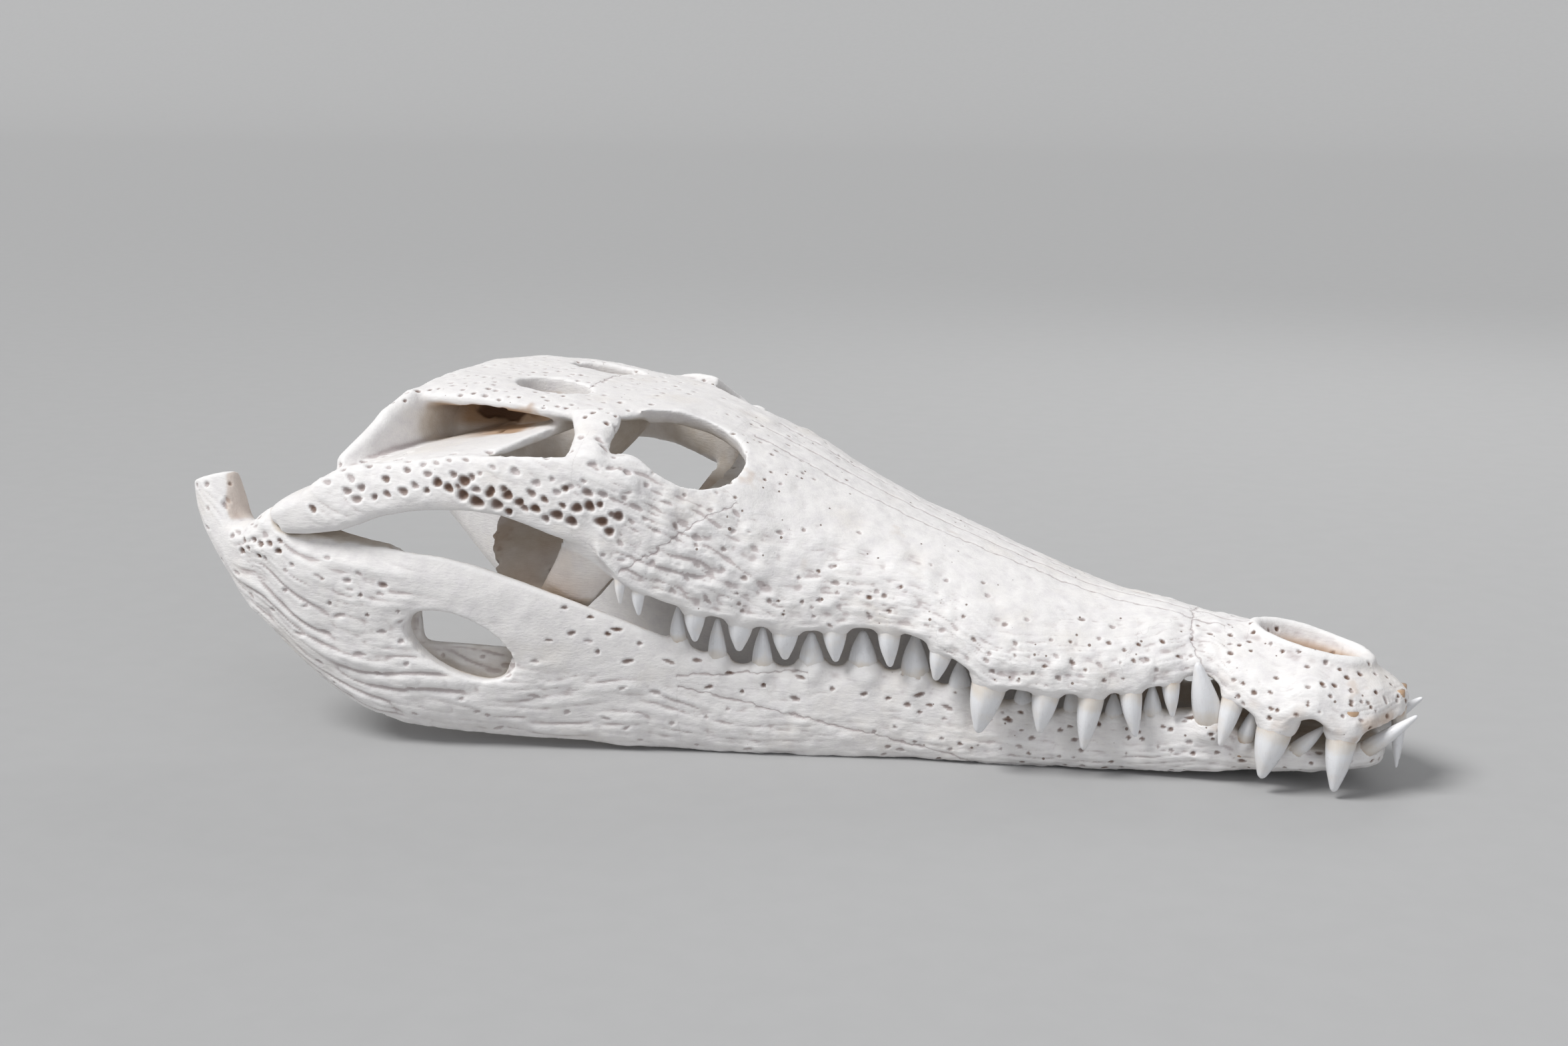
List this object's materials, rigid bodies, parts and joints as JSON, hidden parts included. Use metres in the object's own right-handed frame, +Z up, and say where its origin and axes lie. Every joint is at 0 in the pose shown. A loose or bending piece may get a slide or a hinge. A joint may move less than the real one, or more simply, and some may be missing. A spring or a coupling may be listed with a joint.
{
  "type": "crocodile skull",
  "caption": "Bleached crocodile skull resting on its lower jaw, with the jaws almost closed and the teeth in place.",
  "frame": {"origin": "on the floor, under the middle of the skull's bounding box", "axes": "+X from the back of the skull to the tip of the snout, +Y to the animal's left, +Z up"},
  "size_m": [0.5182, 0.2164, 0.1537],
  "materials": {
    "bone": "dry bleached bone, matt",
    "tooth": "smooth enamel, slightly glossy"
  },
  "bodies": {
    "root": {"premaxilla": "bone", "maxilla": "bone", "skull_roof": "bone", "braincase": "bone", "pterygoid": "bone", "jugal_right": "bone", "jugal_left": "bone", "quadrate_right": "bone", "quadrate_left": "bone", "dentary_right": "bone", "dentary_left": "bone", "rear_jaw_right": "bone", "rear_jaw_left": "bone"}
  },
  "joints": []
}
